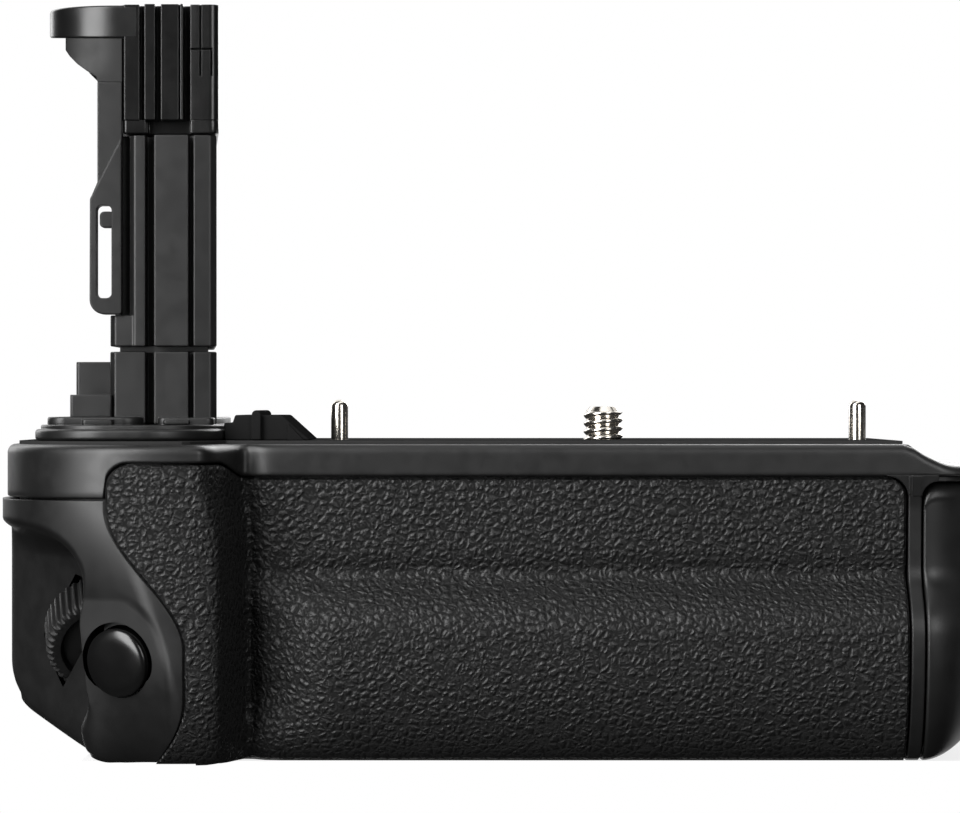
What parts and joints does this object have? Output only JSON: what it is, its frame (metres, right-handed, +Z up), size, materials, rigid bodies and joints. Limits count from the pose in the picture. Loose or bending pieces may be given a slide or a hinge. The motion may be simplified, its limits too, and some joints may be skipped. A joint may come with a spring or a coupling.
{
  "type": "camera battery grip",
  "caption": "Vertical battery grip for a camera: textured hand grip, shutter button and dial, battery tower, attachment screw with thumb wheel, hinged battery door",
  "frame": {"origin": "on the axis of the attachment screw, on the seat face that meets the camera", "axes": "+X along the grip to the battery door, -Y out of the face the fingers hold, +Z up into the camera"},
  "size_m": [0.1527, 0.0676, 0.1154],
  "materials": {
    "matte_black": "fine grained matte",
    "gloss_black": "polished",
    "grip_rubber": "pebbled",
    "steel": "brushed",
    "bright_nickel": "bright",
    "contact_metal": "satin",
    "board_green": "satin"
  },
  "bodies": {
    "grip_body": {"top_cover": "matte_black", "top_plate": "matte_black", "front_case": "matte_black", "shutter_housing": "matte_black", "rear_cover": "matte_black", "bottom_cover": "matte_black", "battery_box": "matte_black", "tower_base": "matte_black", "tower_column": "matte_black", "head_cap": "matte_black", "cover_clips": "matte_black", "side_lug": "matte_black", "hinge_block": "matte_black", "button_cup": "matte_black", "dial_carrier": "matte_black", "stick_base": "matte_black", "tower_head": "gloss_black", "front_skin": "grip_rubber", "rear_skin": "grip_rubber", "door_seal": "grip_rubber", "tripod_socket": "steel", "gear_carrier": "steel", "wheel_axle": "steel", "shutter_switch": "steel", "dial_axle": "steel", "door_pin": "steel", "case_screws": "steel", "tower_screws": "steel", "alignment_pins": "bright_nickel", "bay_contacts": "contact_metal", "tower_contacts": "contact_metal", "tower_ribbon": "contact_metal", "main_board": "board_green", "button_board": "board_green"},
    "wheel": {"thumb_wheel": "matte_black"},
    "screw": {"attachment_screw": "bright_nickel", "screw_gear": "steel"},
    "shutter": {"shutter_button": "gloss_black"},
    "dial": {"main_dial": "matte_black"},
    "door": {"battery_door": "matte_black"},
    "latch": {"door_latch": "matte_black", "latch_plate": "steel"},
    "focus_key": {"focus_button": "matte_black"},
    "lock_key": {"lock_button": "matte_black"},
    "point_key": {"point_button": "matte_black"},
    "gimbal": {"stick_gimbal": "steel"},
    "stick": {"stick_cap": "gloss_black"},
    "power": {"power_switch": "matte_black"}
  },
  "joints": [
    {"name": "wheel_spin", "type": "hinge", "parent": "grip_body", "child": "wheel", "pos_m": [-0.02685, 0.0155, -0.0098], "axis": [0, 0, 1], "continuous": true},
    {"name": "screw_spin", "type": "hinge", "parent": "grip_body", "child": "screw", "pos_m": [0, 0, -0.0044], "axis": [0, 0, 1], "continuous": true},
    {"name": "shutter_press", "type": "slide", "parent": "grip_body", "child": "shutter", "axis": [0.454, 0.891, 0], "range_m": [0, 0.0012], "stiffness_N_per_m": 400},
    {"name": "dial_spin", "type": "hinge", "parent": "grip_body", "child": "dial", "pos_m": [-0.0763, -0.015, -0.0318], "axis": [0.1422, -0.8067, -0.5736], "continuous": true},
    {"name": "door_hinge", "type": "hinge", "parent": "grip_body", "child": "door", "pos_m": [0.04745, 0.0307, -0.0265], "axis": [0, 0, 1], "range_deg": [0, 95]},
    {"name": "latch_slide", "type": "slide", "parent": "door", "child": "latch", "axis": [0, 0, -1], "range_m": [0, 0.004], "stiffness_N_per_m": 400},
    {"name": "focus_press", "type": "slide", "parent": "grip_body", "child": "focus_key", "axis": [0, -1, 0], "range_m": [0, 0.0008], "stiffness_N_per_m": 400},
    {"name": "lock_press", "type": "slide", "parent": "grip_body", "child": "lock_key", "axis": [0, -1, 0], "range_m": [0, 0.0008], "stiffness_N_per_m": 400},
    {"name": "point_press", "type": "slide", "parent": "grip_body", "child": "point_key", "axis": [0, -1, 0], "range_m": [0, 0.0008], "stiffness_N_per_m": 400},
    {"name": "stick_pan", "type": "hinge", "parent": "grip_body", "child": "gimbal", "pos_m": [-0.0615, 0.0264, -0.029], "axis": [0, 0, 1], "range_deg": [-8, 8], "stiffness_Nm_per_rad": 0.05},
    {"name": "stick_tilt", "type": "hinge", "parent": "gimbal", "child": "stick", "pos_m": [-0.0615, 0.0264, -0.029], "axis": [1, 0, 0], "range_deg": [-8, 8], "stiffness_Nm_per_rad": 0.05},
    {"name": "power_slide", "type": "slide", "parent": "grip_body", "child": "power", "axis": [1, 0, 0], "range_m": [0, 0.004]}
  ],
  "couplings": [
    {"joint": "screw_spin", "follows": "wheel_spin", "ratio": -0.55}
  ]
}
